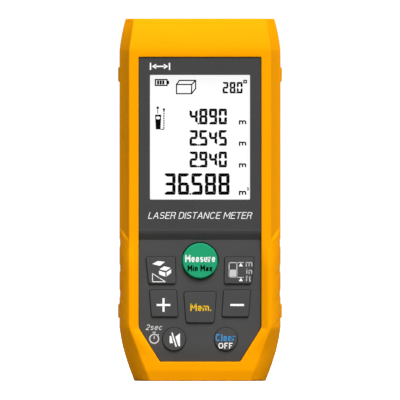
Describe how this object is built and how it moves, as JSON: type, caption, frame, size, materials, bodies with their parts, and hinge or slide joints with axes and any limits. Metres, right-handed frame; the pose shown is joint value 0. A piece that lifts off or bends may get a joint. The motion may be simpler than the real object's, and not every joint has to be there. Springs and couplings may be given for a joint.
{
  "type": "laser distance meter",
  "caption": "Pocket laser distance meter with a soft yellow bumper, tall segment display, travelling keys, hinged battery door and camera thread.",
  "frame": {"origin": "middle of the flat base end, the rear measuring reference, at the middle of the box", "axes": "+Z along the measuring axis from the base end to the laser end, display and keys face -Y, battery door and camera thread face +Y, +X to the right as seen from the front"},
  "size_m": [0.0576, 0.034, 0.127],
  "materials": {
    "bumper": "soft-touch moulded elastomer, golden yellow, satin",
    "case_plastic": "fine spark-eroded texture",
    "panel_plastic": "satin, fine grain",
    "key_rubber": "matte silicone with printed legends",
    "key_green": "satin silicone with printed legends",
    "gasket_rubber": "matte",
    "clear_plastic": "clear, hard coated",
    "lens_glass": "polished, coated",
    "white_plastic": "smooth white",
    "board_green": "solder mask",
    "chip_black": "moulded epoxy",
    "steel": "plated",
    "brass": "turned",
    "alloy": "die cast",
    "cell_wrap": "plain printed wrap, no text",
    "flex_film": "polyimide film",
    "foam": "closed-cell foam"
  },
  "bodies": {
    "housing": {"front_bumper": "bumper", "rear_bumper": "bumper", "front_case": "case_plastic", "rear_case": "case_plastic", "case_gasket": "gasket_rubber", "display_bezel": "panel_plastic", "display_window": "clear_plastic", "keypad_cover": "panel_plastic", "key_mat": "key_rubber", "dome_sheet": "clear_plastic", "main_board": "board_green", "optics_chassis": "alloy", "optics_bezel": "case_plastic", "tripod_insert": "brass", "lcd_panel": "lens_glass", "backlight_guide": "white_plastic", "lcd_frame": "white_plastic", "lcd_flex": "flex_film", "processor_chip": "chip_black", "tilt_sensor": "chip_black", "buzzer": "chip_black", "battery_connector": "white_plastic", "laser_barrel": "brass", "laser_diode": "brass", "collimator_lens": "lens_glass", "receiver_lens": "lens_glass", "optical_filter": "lens_glass", "photodiode": "brass", "receiver_board": "board_green", "optics_cable": "flex_film", "receiver_window": "lens_glass", "laser_window": "lens_glass", "battery_left": "cell_wrap", "battery_right": "cell_wrap", "battery_spring_left": "steel", "battery_spring_right": "steel", "upper_contact_strip": "steel", "lower_contact_left": "steel", "lower_contact_right": "steel", "case_screw_lower_left": "steel", "board_screw_lower_left": "steel", "case_screw_lower_right": "steel", "board_screw_lower_right": "steel", "case_screw_upper_left": "steel", "board_screw_upper_left": "steel", "case_screw_upper_right": "steel", "board_screw_upper_right": "steel", "optics_screw_left": "steel", "optics_screw_right": "steel"},
    "shape_key_body": {"shape_key": "key_rubber"},
    "reference_key_body": {"reference_key": "key_rubber"},
    "plus_key_body": {"plus_key": "key_rubber"},
    "minus_key_body": {"minus_key": "key_rubber"},
    "memory_key_body": {"memory_key": "key_rubber"},
    "measure_key_body": {"measure_key": "key_green"},
    "timer_key_body": {"timer_key": "key_rubber"},
    "clear_key_body": {"clear_key": "key_rubber"},
    "door": {"battery_door": "case_plastic", "door_gasket": "gasket_rubber", "door_pad": "foam"}
  },
  "joints": [
    {"name": "shape_key_press", "type": "slide", "parent": "housing", "child": "shape_key_body", "axis": [0, 1, 0], "range_m": [0, 0.0005], "stiffness_N_per_m": 3000, "springref_m": -0.0003},
    {"name": "reference_key_press", "type": "slide", "parent": "housing", "child": "reference_key_body", "axis": [0, 1, 0], "range_m": [0, 0.0005], "stiffness_N_per_m": 3000, "springref_m": -0.0003},
    {"name": "plus_key_press", "type": "slide", "parent": "housing", "child": "plus_key_body", "axis": [0, 1, 0], "range_m": [0, 0.0005], "stiffness_N_per_m": 3000, "springref_m": -0.0003},
    {"name": "minus_key_press", "type": "slide", "parent": "housing", "child": "minus_key_body", "axis": [0, 1, 0], "range_m": [0, 0.0005], "stiffness_N_per_m": 3000, "springref_m": -0.0003},
    {"name": "memory_key_press", "type": "slide", "parent": "housing", "child": "memory_key_body", "axis": [0, 1, 0], "range_m": [0, 0.0005], "stiffness_N_per_m": 3000, "springref_m": -0.0003},
    {"name": "measure_key_press", "type": "slide", "parent": "housing", "child": "measure_key_body", "axis": [0, 1, 0], "range_m": [0, 0.0005], "stiffness_N_per_m": 3000, "springref_m": -0.0003},
    {"name": "timer_key_press", "type": "slide", "parent": "housing", "child": "timer_key_body", "axis": [0, 1, 0], "range_m": [0, 0.0005], "stiffness_N_per_m": 3000, "springref_m": -0.0003},
    {"name": "clear_key_press", "type": "slide", "parent": "housing", "child": "clear_key_body", "axis": [0, 1, 0], "range_m": [0, 0.0005], "stiffness_N_per_m": 3000, "springref_m": -0.0003},
    {"name": "door_hinge", "type": "hinge", "parent": "housing", "child": "door", "pos_m": [0, 0.0147, 0.0106], "axis": [-1, 0, 0], "range_deg": [0, 95]}
  ]
}
